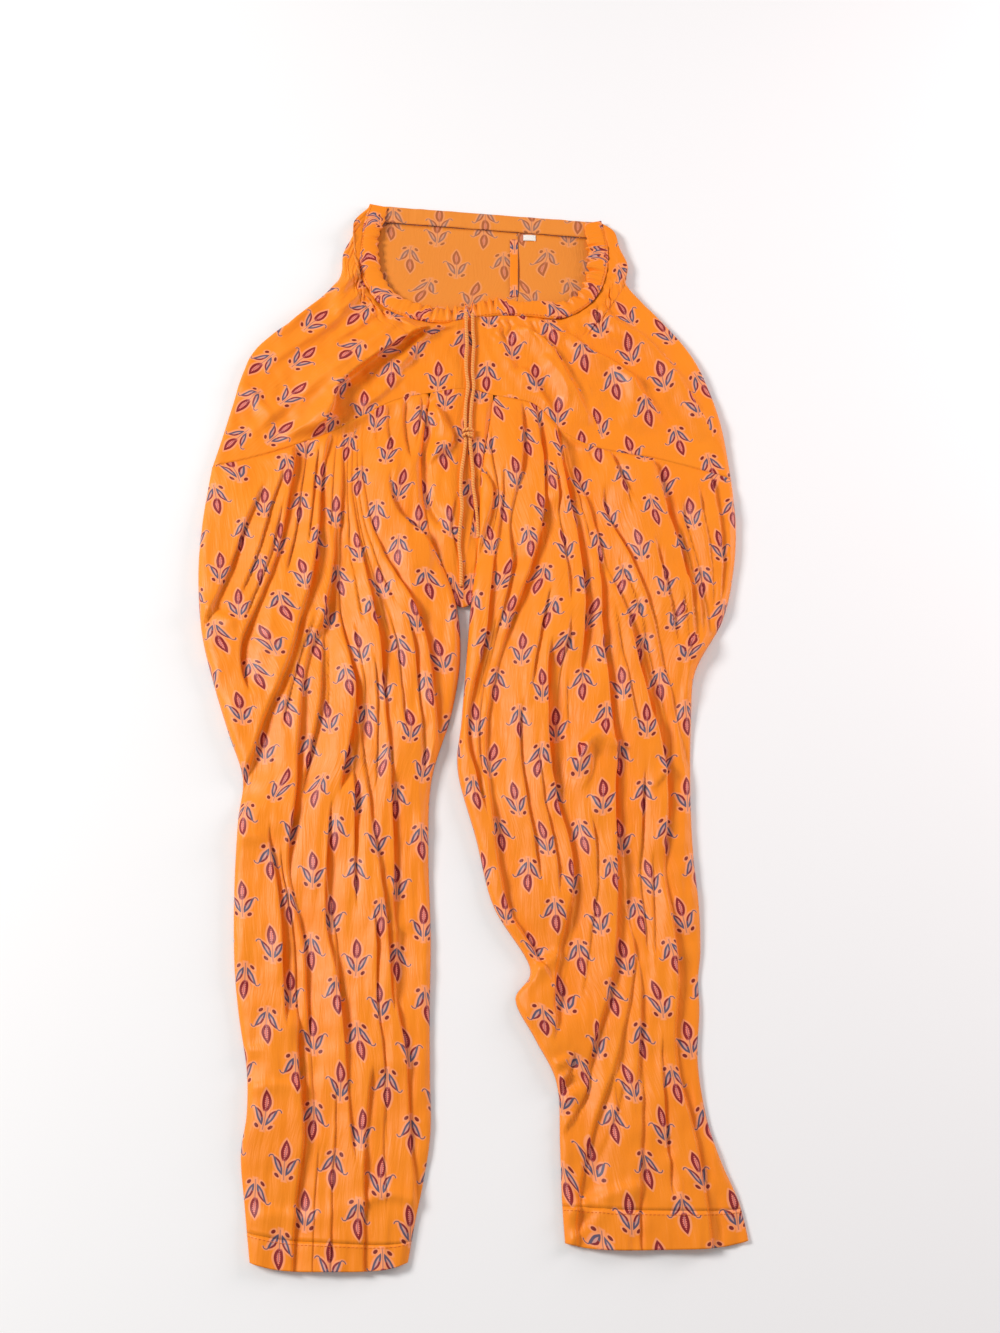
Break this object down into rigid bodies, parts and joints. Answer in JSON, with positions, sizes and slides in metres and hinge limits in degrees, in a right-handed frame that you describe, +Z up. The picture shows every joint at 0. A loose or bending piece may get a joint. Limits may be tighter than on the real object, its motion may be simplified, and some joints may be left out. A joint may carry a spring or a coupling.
{
  "type": "patiala salwar",
  "caption": "Pleated loose trousers with a deep belt, a gathered waist and a tied drawstring, laid flat on a surface with the front up.",
  "frame": {"origin": "bottom centre of the garment as it lies, on the surface under it", "axes": "+Y towards the waist, +X to the right as seen with the front up, +Z up from the surface"},
  "size_m": [0.4836, 0.9783, 0.0161],
  "materials": {
    "printed_cotton": "soft plain-weave cotton, printed with small sprigs",
    "wrong_side": "paler wrong side of the printed cotton",
    "drawstring": "thin twisted cotton cord",
    "label": "bare woven tape"
  },
  "bodies": {
    "root": {"yoke_front": "printed_cotton", "yoke_back_left": "wrong_side", "yoke_back_right": "wrong_side", "back_seam_allowance": "wrong_side", "casing_back": "wrong_side", "casing_left": "printed_cotton", "casing_front": "printed_cotton", "casing_right": "printed_cotton", "leg_left_front": "printed_cotton", "leg_left_back": "printed_cotton", "hem_left_front": "printed_cotton", "hem_left_back": "printed_cotton", "gusset_left": "printed_cotton", "leg_right_front": "printed_cotton", "leg_right_back": "printed_cotton", "hem_right_front": "printed_cotton", "hem_right_back": "printed_cotton", "gusset_right": "printed_cotton", "label": "label", "drawstring_knot": "drawstring", "drawstring_left_upper": "drawstring", "drawstring_right_upper": "drawstring", "drawstring_left_tail": "drawstring", "drawstring_right_tail": "drawstring"}
  },
  "joints": []
}
